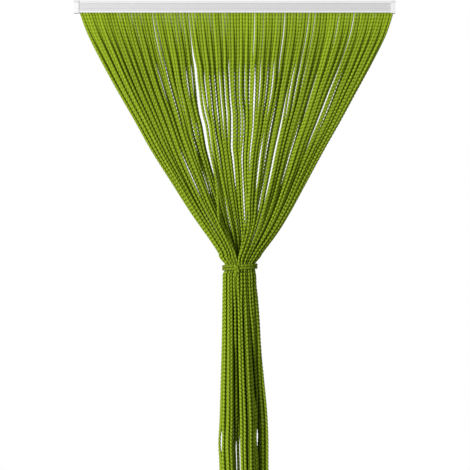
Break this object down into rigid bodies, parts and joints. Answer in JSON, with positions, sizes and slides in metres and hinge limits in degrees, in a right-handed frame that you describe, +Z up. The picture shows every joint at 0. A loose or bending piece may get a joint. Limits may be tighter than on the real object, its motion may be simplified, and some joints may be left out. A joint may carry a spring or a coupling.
{
  "type": "fly screen string curtain with head rail",
  "caption": "String fly screen curtain hanging from a slim head rail, its green cords gathered into one bundle by a tied cord.",
  "frame": {"origin": "middle of the rail's flat top face, where it is screwed up under a lintel", "axes": "+Z up, +Y towards the back of the rail, so the front faces -Y and +X is to the right seen from the front"},
  "size_m": [0.9, 0.1199, 2.0294],
  "materials": {
    "rail": "silver white satin",
    "cap": "white satin",
    "string": "looped lime green cord",
    "tie": "looped lime green cord"
  },
  "bodies": {
    "root": {"rail": "rail", "cap_left": "cap", "cap_right": "cap", "strings": "string", "tie": "tie"}
  },
  "joints": []
}
